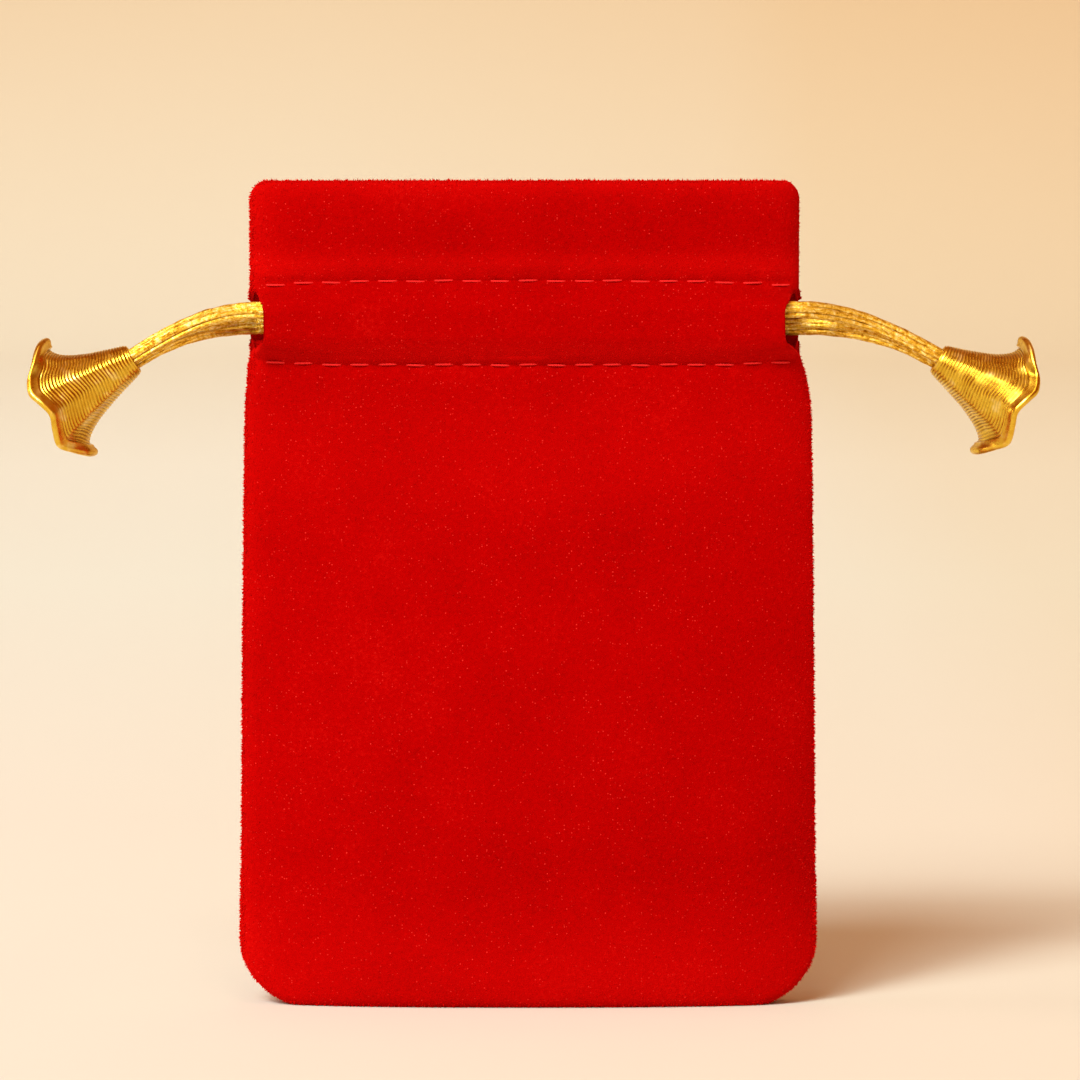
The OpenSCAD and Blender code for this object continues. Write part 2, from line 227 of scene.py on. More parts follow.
def run_length(at):
    """The length run so far at each point of a line."""
    return np.concatenate([[0], np.cumsum(np.linalg.norm(np.diff(at, axis=0), axis=1))])


# ------------------------ materials
class Nodes:
    """A short way to write the nodes of a material, or of the world."""

    def __init__(self, name, kept_in="materials", shader="Principled BSDF"):
        self.owner = getattr(bpy.data, kept_in).new(name)
        self.owner.use_nodes = True
        self.tree = self.owner.node_tree
        self.shader = self.tree.nodes[shader]

    def add(self, kind, inputs=None, **settings):
        node = self.tree.nodes.new(kind)
        for key, value in settings.items():
            setattr(node, key, value)
        for key, value in (inputs or {}).items():
            self.put(node.inputs[key], value)
        return node

    def put(self, socket, value):
        if isinstance(value, bpy.types.NodeSocket):
            self.tree.links.new(value, socket)
        else:
            socket.default_value = value

    def set(self, **values):
        for key, value in values.items():
            self.put(self.shader.inputs[key.replace("_", " ")], value)

    def ramp(self, factor, stops):
        node = self.add("ShaderNodeValToRGB", {"Fac": factor})
        ramp = node.color_ramp
        while len(ramp.elements) < len(stops):
            ramp.elements.new(0.5)
        for element, (place, colour) in zip(ramp.elements, stops):
            element.position = place
            element.color = (*colour, 1)
        return node.outputs["Color"]

    def noise(self, at, scale, detail, roughness=0.5, distortion=0.0):
        inputs = {"Vector": at, "Scale": scale, "Detail": detail, "Roughness": roughness,
                  "Distortion": distortion}
        return self.add("ShaderNodeTexNoise", inputs).outputs["Fac"]

    def math(self, operation, a, b):
        return self.add("ShaderNodeMath", {0: a, 1: b}, operation=operation).outputs[0]

    def spread(self, value, low, high, to_low=0.0, to_high=1.0):
        """The value, with the span from low to high spread over the span from to_low to to_high."""
        inputs = {"Value": value, "From Min": low, "From Max": high, "To Min": to_low, "To Max": to_high}
        return self.add("ShaderNodeMapRange", inputs).outputs[0]

    def mix(self, factor, a, b, **settings):
        inputs = {"Factor": factor, "A": a, "B": b}
        return self.add("ShaderNodeMix", inputs, data_type="RGBA", **settings).outputs["Result"]

    def bump(self, height, strength, distance):
        inputs = {"Height": height, "Strength": strength, "Distance": distance}
        return self.add("ShaderNodeBump", inputs).outputs["Normal"]


def velvet_material():
    n = Nodes("velvet")
    at = n.add("ShaderNodeTexCoord").outputs["Object"]
    nap = n.noise(at, 2600.0, 2.0, 0.7)
    tufts = n.noise(at, 1100.0, 2.0, 0.6)
    mottle_and_belly_light = n.noise(at, 42.0, 5.0, 0.55)
    mixed = n.math("ADD", n.math("ADD", nap, tufts), mottle_and_belly_light)
    body = n.ramp(n.math("MULTIPLY", mixed, 1 / 3), [(0.34, (0.26, 0.0, 0.0)), (0.47, (0.335, 0.0, 0.0)),
                                                     (0.56, (0.365, 0.0, 0.0)), (0.68, (0.45, 0.003, 0.002))])
    # single pile tips that have turned and catch the light
    speck = n.add("ShaderNodeTexVoronoi", {"Vector": at, "Scale": 1900.0, "Randomness": 1.0})
    near = n.spread(speck.outputs["Distance"], 0.12, 0.34, 1.0, 0.0)
    which = n.add("ShaderNodeSeparateColor", {"Color": speck.outputs["Color"]})
    some = n.spread(which.outputs["Red"], 0.86, 1.0, 0.0, 0.90)
    colour = n.mix(n.math("MULTIPLY", near, some), body, (0.80, 0.035, 0.028, 1))
    # painted highlight and painted light: the red is brighter along the edges and most on the left side, over
    # the stitch rows, on the upper belly, at the foot and at the tips of the tufts, standing in for sheen and
    # for light that falls there
    pile = n.add("ShaderNodeAttribute", attribute_name="pile_highlight_paint")
    colour = n.mix(pile.outputs["Fac"], colour, (0.84, 0.005, 0.003, 1))
    n.set(Base_Color=colour, Roughness=0.95, Specular_IOR_Level=0.012, Normal=n.bump(mixed, 0.45, 0.0003))
    n.set(Sheen_Weight=0.95, Sheen_Roughness=0.30, Sheen_Tint=(1.0, 0.006, 0.004, 1))
    return n.owner


def thread_material():
    n = Nodes("sewing_thread")
    at = n.add("ShaderNodeTexCoord").outputs["UV"]
    twist = n.add("ShaderNodeTexWave", {"Vector": at, "Scale": 1.0, "Distortion": 0.4},
                  bands_direction="DIAGONAL").outputs["Fac"]
    colour = n.ramp(twist, [(0.0, (0.66, 0.007, 0.008)), (1.0, (0.95, 0.022, 0.020))])
    n.set(Base_Color=colour, Roughness=0.6, Specular_IOR_Level=0.15, Normal=n.bump(twist, 0.6, 0.0001))
    n.set(Sheen_Weight=0.25, Sheen_Roughness=0.4, Sheen_Tint=(1.0, 0.08, 0.06, 1))
    return n.owner


def cord_material():
    n = Nodes("satin_cord")
    at = n.add("ShaderNodeTexCoord").outputs["UV"]
    stretched = n.add("ShaderNodeMapping", {"Vector": at, "Scale": (0.40, 30.0, 1.0)})
    fibres = n.noise(stretched.outputs[0], 1.0, 5.0, 0.65, 0.5)
    crinkle_at = n.add("ShaderNodeMapping", {"Vector": at, "Scale": (0.9, 9.0, 1.0)})
    crinkle = n.noise(crinkle_at.outputs[0], 1.0, 3.0, 0.6, 1.2)
    half = n.math("MULTIPLY", n.math("ADD", fibres, crinkle), 0.5)
    tone = n.ramp(half, [(0.38, (0.40, 0.16, 0.003)), (0.45, (0.72, 0.37, 0.014)),
                         (0.52, (0.90, 0.57, 0.060)), (0.60, (1.0, 0.82, 0.34))])
    # painted shade: the concave folds of the satin are darker, where shade falls
    folded = n.add("ShaderNodeNewGeometry").outputs["Pointiness"]
    crease_shade_paint = n.ramp(folded, [(0.41, (0.06, 0.018, 0.003)), (0.485, (1.0, 1.0, 1.0))])
    colour = n.mix(1.0, tone, crease_shade_paint, blend_type="MULTIPLY")
    n.set(Base_Color=colour, Roughness=n.spread(crinkle, 0.0, 1.0, 0.34, 0.52), Metallic=0.8,
          Normal=n.bump(half, 0.6, 0.0005))
    return n.owner


def gold_material():
    n = Nodes("bell_gold")
    at = n.add("ShaderNodeTexCoord").outputs["Object"]
    cloud = n.noise(at, 240.0, 4.0, 0.6)
    fine = n.noise(at, 1500.0, 2.0)
    tone = n.ramp(cloud, [(0.30, (0.66, 0.35, 0.02)), (0.55, (0.82, 0.53, 0.05)), (0.75, (1.0, 0.78, 0.30))])
    # painted shade: the grooves between the ribs and other hollows are darker
    hollow_measure = n.add("ShaderNodeNewGeometry").outputs["Pointiness"]
    groove_shade_paint = n.ramp(hollow_measure, [(0.45, (0.16, 0.06, 0.02)), (0.505, (1.0, 1.0, 1.0))])
    colour = n.mix(0.9, tone, groove_shade_paint, blend_type="MULTIPLY")
    n.set(Base_Color=colour, Roughness=n.spread(cloud, 0.3, 0.7, 0.22, 0.34), Metallic=1.0,
          Normal=n.bump(fine, 0.15, 0.0001))
    return n.owner


VELVET = velvet_material()
THREAD = thread_material()
SATIN = cord_material()
GOLD = gold_material()


# ------------------------ cords
# the height of a tail over the middle of the channel, by its share of the way from the slit to the bell
SAG = [(0, 0.8), (0.25, 0.6), (0.5, -0.8), (0.75, -3.8), (1, -THROAT_DROP)]
# in the throat the two strands lie side by side, a little apart in height and squeezed
THROAT_UP = 0.65
THROAT_Y = 1.1
THROAT_SQUEEZE = 0.9
# a strand runs on this far inside its bell
STRAND_END = 2.5
# heights of the front and the back strand where they leave their slits
FRONT_Z, BACK_Z = 2.85, -1.25
# past the other cord the outer cord dips at the front and rises at the back
DIP_Z, LIFT_Z = -2.2, 3.4
# the share of the way at which the two strands have come together
MEET = 0.6
# a strand changes height over this length before its bight, and over this depth in it
CROSSING = 16
BIGHT_CROSSING = 5.4


def tail(reach, layer, s):
    """One strand from inside its bell to the slit, x counted towards its bell; s is -1 for the front one."""
    across, down = math.cos(BELL_TILT), math.sin(BELL_TILT)
    pts = [(reach + STRAND_END * across - s * THROAT_UP * down, s * THROAT_Y,
            -THROAT_DROP - STRAND_END * down - s * THROAT_UP * across, THROAT_SQUEEZE)]
    share, height = zip(*SAG)
    for f in (1, 0.8, 0.6, 0.4, 0.2, 0):
        near = (1 + math.cos(math.pi * f)) / 2
        apart = (1 + math.cos(math.pi * min(1, f / MEET))) / 2
        exit_z = (FRONT_Z if s < 0 else BACK_Z) - SAG[0][1]
        pts.append((FRONT_SLIT + (reach - FRONT_SLIT) * f - s * THROAT_UP * down * f,
                    s * (THROAT_Y + (layer - THROAT_Y) * apart),
                    float(np.interp(f, share, height)) + exit_z * near - s * THROAT_UP * across * (1 - near),
                    1 - (1 - THROAT_SQUEEZE) * f))
    return pts


def inside(layer, s, rest, end, turn_x):
    """One strand along its channel, from the slit to its bight, going from height rest to height end."""
    start = turn_x - CROSSING
    return [(x, s * layer, float(eased(rest, end, (-x - start) / CROSSING)), 1)
            for x in (40, 20, 0, -18, -start, -start - 5, -start - 11, -turn_x)]


def bight(layer, low, high, turn_x):
    """The half circle round the far side, from the front strand at height low to the back one at high."""
    pts = []
    for a in (22.5, 45, 70, 90, 110, 135, 157.5):
        y = -layer * math.cos(math.radians(a))
        x = -turn_x - layer * math.sin(math.radians(a))
        pts.append((x, y, float(eased(low, high, 0.5 + y / BIGHT_CROSSING)), 1))
    return pts


def cord_route(reach, layer, low, high, bight_x):
    """The whole loop, from the bell along the front channel, round, and back along the back channel."""
    turn_x = bight_x - layer
    front = tail(reach, layer, -1) + inside(layer, -1, FRONT_Z, low, turn_x)
    back = tail(reach, layer, 1) + inside(layer, 1, BACK_Z, high, turn_x)
    return np.array(front + bight(layer, low, high, turn_x) + back[::-1], float)


def resample(route, step):
    """Points along a smooth curve through the route, step apart, all four columns."""
    p = np.vstack([2 * route[0] - route[1], route, 2 * route[-1] - route[-2]])
    out = []
    for k in range(1, len(p) - 2):
        t = np.linspace(0, 1, 40, endpoint=False)[:, None]
        a, b, c, d = p[k - 1], p[k], p[k + 1], p[k + 2]
        out.append(0.5 * (2 * b + (c - a) * t + (2 * a - 5 * b + 4 * c - d) * t ** 2
                          + (3 * b - a - 3 * c + d) * t ** 3))
    dense = np.vstack([*out, route[-1:]])
    s = run_length(dense[:, :3])
    q = np.linspace(0, s[-1], max(2, int(round(s[-1] / step)) + 1))
    return np.stack([np.interp(q, s, dense[:, k]) for k in range(4)], 1), s[-1]


# long folds of a strand: place round it in radians, depth
FOLDS = ((0.35, 0.34), (-0.55, 0.50), (1.3, 0.22), (2.6, 0.38), (3.5, 0.56), (4.4, 0.24))


def strand_mesh(name, line, seed, sides=52, flat=2.15):
    """A flat crinkled satin strand round a line of [x, y, z, size]."""
    at = line[:, :3]
    along = unit(np.gradient(at, axis=0))
    out = unit(np.cross(along, np.array([0, 0, 1.0])))
    up = np.cross(out, along)
    a = np.linspace(0, 2 * np.pi, sides, endpoint=False)
    c, s = np.cos(a), np.sin(a)
    # a flattened round: fuller than an ellipse, with rounded edges
    ex = np.sign(c) * np.abs(c) ** (2 / flat)
    ey = np.sign(s) * np.abs(s) ** (2 / flat)
    n = len(at)
    L = np.repeat(run_length(at)[:, None], sides, 1)
    A = np.repeat(a[None, :], n, 0)
    u, v = np.cos(A) * 2.2, np.sin(A) * 2.2
    pleats = value_noise(L * 0.16, u * 1.6, v * 1.6, seed)
    crinkle = value_noise(L * 0.75, u * 0.9, v * 0.9, seed + 5)
    fine = value_noise(L * 0.45, u * 2.6, v * 2.6, seed + 9)
    swell = 0.08 * pleats + 0.06 * crinkle + 0.085 * fine
    # long folds in the satin, which wander a little round the strand
    for k, (place, depth) in enumerate(FOLDS):
        wander = place + 0.30 * value_noise(L * 0.05, k, 0, seed + 13)
        off = (A - wander + np.pi) % (2 * np.pi) - np.pi
        here = 0.65 + 0.35 * value_noise(L * 0.09, 0, k, seed + 17)
        swell = swell - depth * here * np.exp(-(off / 0.15) ** 2)
    size = line[:, 3][:, None]
    half_w = size * CORD_T / 2 - 0.10 + swell
    half_h = size * CORD_H / 2 - 0.10 + swell
    pts = (at[:, None] + out[:, None] * (ex[None, :] * half_w)[..., None]
           + up[:, None] * (ey[None, :] * half_h)[..., None])
    uvs = np.stack([L, A / (2 * np.pi)], -1).reshape(-1, 2)
    return make_mesh(name, pts.reshape(-1, 3), ring_faces(n, sides), SATIN, uvs)


def tube_points(path, radius, sides=14):
    """Vertices and faces of a round tube along points."""
    at = np.asarray(path, float)
    along = unit(np.gradient(at, axis=0))
    side = np.zeros_like(at)
    ref = np.array([0, 1.0, 0]) if abs(along[0][1]) < 0.9 else np.array([1.0, 0, 0])
    for k, d in enumerate(along):
        ref = ref - d * (ref @ d)
        ref = ref / np.linalg.norm(ref)
        side[k] = ref
    up = np.cross(along, side)
    a = np.linspace(0, 2 * np.pi, sides, endpoint=False)
    r = np.broadcast_to(np.asarray(radius, float), (len(at),))[:, None, None]
    pts = at[:, None] + r * (side[:, None] * np.cos(a)[None, :, None]
                             + up[:, None] * np.sin(a)[None, :, None])
    uvs = np.stack([np.repeat(run_length(at), sides), np.tile(a / (2 * np.pi), len(at))], 1)
    return pts.reshape(-1, 3), ring_faces(len(at), sides), uvs


def joined(parts):
    """Several tubes as the vertices, faces and uvs of one mesh."""
    verts, faces, uvs, start = [], [], [], 0
    for v, f, uv in parts:
        verts.append(v)
        uvs.append(uv)
        faces += [[i + start for i in face] for face in f]
        start += len(v)
    return np.vstack(verts), faces, np.vstack(uvs)


def knot_mesh(name, reach, sign):
    """An overhand knot in the doubled cord, inside the bell, with the two strands that come down to it."""
    across = np.array([0, 1.0, 0])
    throat = np.array([reach, 0, -THROAT_DROP])
    centre = throat + BELL_AXIS * KNOT_AT
    t = np.linspace(0, 2 * np.pi, 90)
    x = np.sin(t) + 2 * np.sin(2 * t)
    y = np.cos(t) - 2 * np.cos(2 * t)
    z = -np.sin(3 * t)
    scale = 2.75 / 3.0
    path = centre + scale * (x[:, None] * across - y[:, None] * BELL_UP) + 1.15 * z[:, None] * BELL_AXIS
    parts = [tube_points(path, 1.35 + 0.06 * np.sin(t * 17))]
    for s in (-1, 1):
        aside = across * s * THROAT_Y
        side = -s * THROAT_UP
        a = throat + BELL_AXIS * 2.3 + aside + BELL_UP * side
        b = throat + BELL_AXIS * 7.5 + aside * 0.8 + BELL_UP * side * 0.8
        q = np.linspace(0, 1, 8)[:, None]
        parts.append(tube_points(a + (b - a) * q, 1.0))
        c = centre + BELL_AXIS * 1.6 + aside * 0.9 + BELL_UP * side * 0.7
        e = centre + BELL_AXIS * 5.4 + aside * 1.4 + BELL_UP * side * 1.3
        parts.append(tube_points(c + (e - c) * q, np.linspace(1.0, 1.12, 8)))
    verts, faces, uvs = joined(parts)
    verts = verts * np.array([sign, 1, 1]) + np.array([0, 0, CHAN_Z])
    if sign < 0:
        faces = [f[::-1] for f in faces]
    return make_mesh(name, verts, faces, SATIN, uvs)


CORDS = {}
for side_name, sign, reach, layer, low, high, bight_x in (
        ("left", -1, LEFT_REACH, OUTER_Y, DIP_Z, LIFT_Z, BIGHT_X - LEFT_BIGHT_IN),
        ("right", 1, RIGHT_REACH, INNER_Y, FRONT_Z, BACK_Z, BIGHT_X - RIGHT_BIGHT_IN)):
    line, length = resample(cord_route(reach, layer, low, high, bight_x), CORD_STEP)
    line[:, 0] *= sign
    line[:, 2] += CHAN_Z
    if sign < 0:
        line = line[::-1]
    obj = strand_mesh(side_name + "_satin_cord", line, 11 if sign < 0 else 37)
    CORDS[side_name] = (obj, line, length)


# ------------------------ bells
# the waves of the lip, from the top of the bell round to its bottom:
# angle round the bell, distance from the throat, radius, outward lean in degrees
LIP = ((0, 14.0, 12.7, 118), (24, 16.0, 13.1, 104), (38, 18.0, 12.2, 66), (50, 20.3, 11.2, 36),
       (66, 21.2, 11.1, 32), (80, 20.4, 11.2, 44), (96, 19.6, 11.3, 52), (112, 20.6, 11.3, 42),
       (132, 21.6, 11.6, 32), (150, 19.8, 12.0, 62), (165, 18.0, 12.8, 98), (180, 17.0, 13.2, 114))
LIP_BAND = 2.0
RIBS = 27
BELL_SIDES = 180
THROAT_BORE_R = 2.97
# the wall of a bell is a curve from its throat to its lip: its first radius, the pull point near the throat,
# and how far the other pull point lies in from the lip
THROAT_R = 3.15
NEAR_THROAT = (6.6, 5.3)
IN_FROM_LIP = 5.4
# the left bell is a little longer than the right one
LEFT_STRETCH = 1.05


def bell_rim(a):
    """Distance from the throat, radius and outward lean of the lip, round the bell; a is 0 at its top."""
    angle, s, r, lean = (np.array(v, float) for v in zip(*LIP))
    turned = np.degrees(np.arccos(np.cos(a)))
    return pchip(angle, s, turned), pchip(angle, r, turned), np.radians(pchip(angle, lean, turned))


def bell_mesh(name, reach, sign, stretch):
    """A lily-shaped bell: a rounded throat, a ribbed wall and a smooth thick lip in four petals."""
    a = np.linspace(0, 2 * np.pi, BELL_SIDES, endpoint=False)[:, None]
    s3, r3, lean = bell_rim(a)
    s3 = s3 * stretch
    p2 = (s3 - IN_FROM_LIP * np.cos(lean), r3 - IN_FROM_LIP * np.sin(lean))
    t = np.linspace(0, 1, 400)[None]
    b = [(1 - t) ** 3, 3 * t * (1 - t) ** 2, 3 * t * t * (1 - t), t ** 3]
    fine_s = b[1] * NEAR_THROAT[0] + b[2] * p2[0] + b[3] * s3
    fine_r = b[0] * THROAT_R + b[1] * NEAR_THROAT[1] + b[2] * p2[1] + b[3] * r3
    run = np.hstack([0 * a, np.cumsum(np.hypot(np.diff(fine_s, axis=1), np.diff(fine_r, axis=1)), axis=1)])
    share = np.concatenate([np.linspace(0, 1, RIBS * 8), 1 + np.linspace(0, 1, 15)[1:]])
    S, R = np.zeros((2, BELL_SIDES, len(share)))
    for k in range(BELL_SIDES):
        wall = run[k, -1] - LIP_BAND
        q = np.where(share <= 1, 0.6 + (wall - 0.6) * share, wall + LIP_BAND * (share - 1))
        S[k], R[k] = np.interp(q, run[k], fine_s[k]), np.interp(q, run[k], fine_r[k])
    share = share[None]
    ds, dr = np.gradient(S, axis=1), np.gradient(R, axis=1)
    size = np.hypot(ds, dr)
    ns, nr = -dr / size, ds / size
    drift = value_noise(np.cos(a) * 2.2, np.sin(a) * 2.2, share * 14, int(reach) + 3)
    fade = smooth(share / 0.03) * smooth((1 - share) / 0.02)
    # the ribs are shallower in a stripe along the side that faces the front
    facing = np.degrees(np.arctan2(np.sin(a), np.cos(a)))
    plain = 1 - 0.5 * np.exp(-((facing - 106) / 14) ** 2)
    rib = (0.062 + 0.022 * drift) * plain * np.sin(2 * np.pi * RIBS * share + 1.4 * drift) * fade
    lip = smooth((share - 0.99) / 0.12)
    swell = 0.34 + (0.58 + 0.22 * np.cos(a) ** 8) * lip
    uneven = 0.09 * value_noise(R * np.cos(a) * 0.3, R * np.sin(a) * 0.3, S * 0.3, int(reach))
    uneven = uneven * smooth((share - 0.05) / 0.3)
    outer = np.array([S + ns * (swell - 0.1 + rib), R + nr * (swell - 0.1 + rib) + uneven])
    inner = np.array([S - ns * swell * 0.8, R - nr * swell * 0.8 + uneven])
    # the rounded edge of the lip
    q = np.linspace(0, np.pi, 9)[1:-1][None]
    mid = (outer[..., -1:] + inner[..., -1:]) / 2
    half = (outer[..., -1:] - inner[..., -1:]) / 2
    edge_s = mid[0] + half[0] * np.cos(q) + half[1] * np.sin(q)
    edge_r = mid[1] + half[1] * np.cos(q) - half[0] * np.sin(q)
    # the rolled throat: a smooth band with a rounded end
    throat_r = [THROAT_BORE_R, THROAT_BORE_R, 3.04, 3.16, 3.28, 3.36, 3.37, 3.32]
    throat_s = [1.60, 0.30, 0.08, 0.0, 0.06, 0.22, 0.48, 0.58]
    ones = np.ones_like(a)
    in_r = np.maximum(inner[1][:, ::-3], THROAT_BORE_R)
    P_s = np.hstack([ones * np.array(throat_s)[None], outer[0], edge_s, inner[0][:, ::-3]])
    P_r = np.hstack([ones * np.array(throat_r)[None], outer[1], edge_r, in_r])
    # round the bell from its top towards the front, -Y
    front = np.array([0, -1.0, 0])
    verts = (np.array([reach, 0, -THROAT_DROP]) + P_s[..., None] * BELL_AXIS
             + (P_r * np.cos(a))[..., None] * BELL_UP + (P_r * np.sin(a))[..., None] * front).reshape(-1, 3)
    verts = verts * np.array([sign, 1, 1]) + np.array([0, 0, CHAN_Z])
    n = P_s.shape[1]
    i, j = np.meshgrid(np.arange(BELL_SIDES), np.arange(n), indexing="ij")
    i2, j2 = (i + 1) % BELL_SIDES, (j + 1) % n
    quads = np.stack([i * n + j, i * n + j2, i2 * n + j2, i2 * n + j], -1).reshape(-1, 4)
    return make_mesh(name, verts, quads, GOLD)


for side_name, sign, reach in (("left", -1, LEFT_REACH), ("right", 1, RIGHT_REACH)):
    bell = bell_mesh(side_name + "_trumpet_bell", reach, sign, LEFT_STRETCH if sign < 0 else 1.0)
    knot = knot_mesh(side_name + "_tied_knot", reach, sign)
    obj, line, length = CORDS[side_name]
    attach(obj, side_name + "_drawstring")
    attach(knot, side_name + "_drawstring")
    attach(bell, side_name + "_bell")
    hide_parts(side_name + "_cord")
    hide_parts(side_name + "_bell")


# ------------------------ velvet panels
OUTLINE_Z = [0, 88, 132, ROW_LOW, CHAN_Z, ROW_UP, POUCH_H]
OUTLINE_X = [BASE_HALF, BASE_HALF - 0.7, BASE_HALF - 1.4, NECK_HALF + 0.2, NECK_HALF - 0.4, NECK_HALF,
             NECK_HALF]


def side_x(z):
    """Half the width of the pouch at height z."""
    return pchip(OUTLINE_Z, OUTLINE_X, np.clip(z, 0, POUCH_H))


def lens(f):
    """The share of its depth that the belly keeps at share f of the half width."""
    return np.maximum(0, 1 - f ** 2.6) ** 0.75


def flat_form(f):
    """The same for the flatter neck."""
    return np.maximum(0, 1 - f ** 5) ** 0.6


def wall_y(z):
    """Depth of the belly's middle at height z."""
    low = eased(FOOT_Y + 2.9, BELLY_Y, 0.5 + 0.5 * z / WIDEST_Z) - (WIDEST_Z - z) * 0.02
    high = eased(BELLY_Y, ROW_Y + 0.5, (z - WIDEST_Z) / (ROW_LOW - 1 - WIDEST_Z))
    return np.where(z < WIDEST_Z, low, high)


# columns of a row: depth, height, depth at the side, half width, how far it is open, seamed, base and facing,
# and the step of the grid after it
BASE, FACING, STEP = 6, 7, 8


def section_rows(slit):
    """Rows of the cloth's middle, from inside the base up the outside and down the facing to its hem."""
    rows = []

    def row(d, z, e, half=None, open_=0, seamed=0, base=0, facing=0, step=1.3):
        half = side_x(z) - HALF_T if half is None else half
        rows.append((d, z, e, half, open_, seamed, base, facing, step))

    for z, e in ((7, 0.2), (4, 0.28), (1.5, 0.36)):
        row(LIE, z, e, base=1)
    row(1.15, 0.75, 0.5, step=0.5)
    row(1.7, HALF_T, 0.6, step=0.5)
    row(FOOT_Y * 0.3, HALF_T, 0.75, step=1.0)
    row(FOOT_Y * 0.6, HALF_T, 0.95)
    row(FOOT_Y * 0.9, HALF_T, 1.15, step=1.0)
    row(FOOT_Y + 0.3, HALF_T + 0.1, EDGE_Y - 0.1, step=0.6)
    row(FOOT_Y + 2, 1.5, EDGE_Y, step=0.6)
    row(FOOT_Y + 2.8, 3.6, EDGE_Y, step=0.9)
    for z in (8, 17):
        row(float(wall_y(z)), z, EDGE_Y)
    for z in (27, 40, 53, 66, 79, 92, 105, 118, 131):
        row(float(wall_y(z)), z, EDGE_Y, seamed=1)
    row(ROW_Y + 0.55, ROW_LOW - 3.6, EDGE_Y, step=0.6)
    row(ROW_Y, ROW_LOW, EDGE_Y, step=0.4)
    way = NECK_HALF - HALF_T - slit
    row(ROW_Y + 1.3, ROW_LOW + 1.4, EDGE_Y * 0.9, slit + way * 0.85, 0.12, step=0.5)
    row(TUNNEL_Y - 0.7, ROW_LOW + 4.6, 0, slit + way * 0.12, 1, step=0.8)
    row(TUNNEL_Y, CHAN_Z - 2.5, 0, slit, 1, step=1.0)
    row(TUNNEL_Y, CHAN_Z + 2.5, 0, slit, 1, step=0.8)
    row(TUNNEL_Y - 0.7, ROW_UP - 4.6, 0, slit + way * 0.12, 1, step=0.6)
    row(ROW_Y + 1.3, ROW_UP - 1.4, EDGE_Y * 0.9, slit + way * 0.5, 0.12, step=0.5)
    row(ROW_Y, ROW_UP, EDGE_Y, step=0.4)
    row(ROW_Y + 0.9, ROW_UP + 4, EDGE_Y, step=0.8)
    row(ROW_Y + 1.1, ROW_UP + 10, EDGE_Y, step=1.0)
    row(ROW_Y + 0.6, POUCH_H - 4, EDGE_Y, step=0.6)
    row(ROW_Y, POUCH_H - 1.2, EDGE_Y, step=0.35)
    row(ROW_Y - 0.65, POUCH_H - HALF_T, EDGE_Y - 0.2, step=0.35)

    def facing(d, z, e=LIE, **more):
        row(d, z, e, side_x(z) - FACING_INSET, facing=1, **more)

    facing(ROW_FACING_Y - 0.1, POUCH_H - 1.2, LIE + 0.1, step=0.6)
    facing(ROW_FACING_Y - 0.5, POUCH_H - 4, step=1.2)
    facing(ROW_FACING_Y - 0.6, ROW_UP + 8)
    facing(ROW_FACING_Y, ROW_UP, step=1.0)
    bight_end = BIGHT_X - INNER_Y + 0.6
    row(FACING_Y, ROW_UP - 3.4, 0, bight_end, 1, facing=1)
    row(FACING_Y, CHAN_Z, 0, bight_end, 1, facing=1)
    row(FACING_Y, ROW_LOW + 3.4, 0, bight_end, 1, facing=1, step=1.0)
    facing(ROW_FACING_Y, ROW_LOW, step=1.0)
    facing(ROW_FACING_Y + 0.1, HEM_Z)
    return np.array(rows)


def sampled_rows(slit):
    """The rows of the section, joined by a smooth curve and filled in at their steps."""
    rows = section_rows(slit)
    t = np.concatenate([[0], np.cumsum(np.hypot(np.diff(rows[:, 0]), np.diff(rows[:, 1])))])
    q = [t[0]]
    for k in range(len(t) - 1):
        count = max(1, int(math.ceil((t[k + 1] - t[k]) / rows[k, STEP])))
        q += list(np.linspace(t[k], t[k + 1], count + 1)[1:])
    q = np.array(q)
    return np.stack([pchip(t, rows[:, k], q) for k in range(STEP)], 1)


def columns():
    """Shares of the half width, signed, with the step round into the allowance."""
    turn = np.radians(np.linspace(0, 90, 20))
    f = np.concatenate([[0, 0.001, 0.004, 0.010], np.linspace(0.02, 0.775, 50),
                        (BASE_HALF - CORNER_R + CORNER_R * np.sin(turn)) / BASE_HALF])
    half = [(x, 0.0) for x in f] + [(1.0, g) for g in (0.2, 0.4, 0.6, 0.8, 1.0, 1.35, 1.7, 2.0)]
    return np.array([(-x, g) for x, g in half[:0:-1]] + half)


COLUMNS = columns()


def corner_drop(past, r):
    """How far a rounded corner of radius r has left its edge, at past (negative) from the corner."""
    return r - np.sqrt(np.maximum(0, r ** 2 - np.maximum(0, past + r) ** 2))


def stitch_shift(f, z):
    """The stitch rows bow a little towards each other at their ends."""
    return -1.5 * f ** 5 * np.exp(-((z - ROW_UP) / 5) ** 2) + 1.0 * f ** 8 * np.exp(-((z - ROW_LOW) / 5) ** 2)


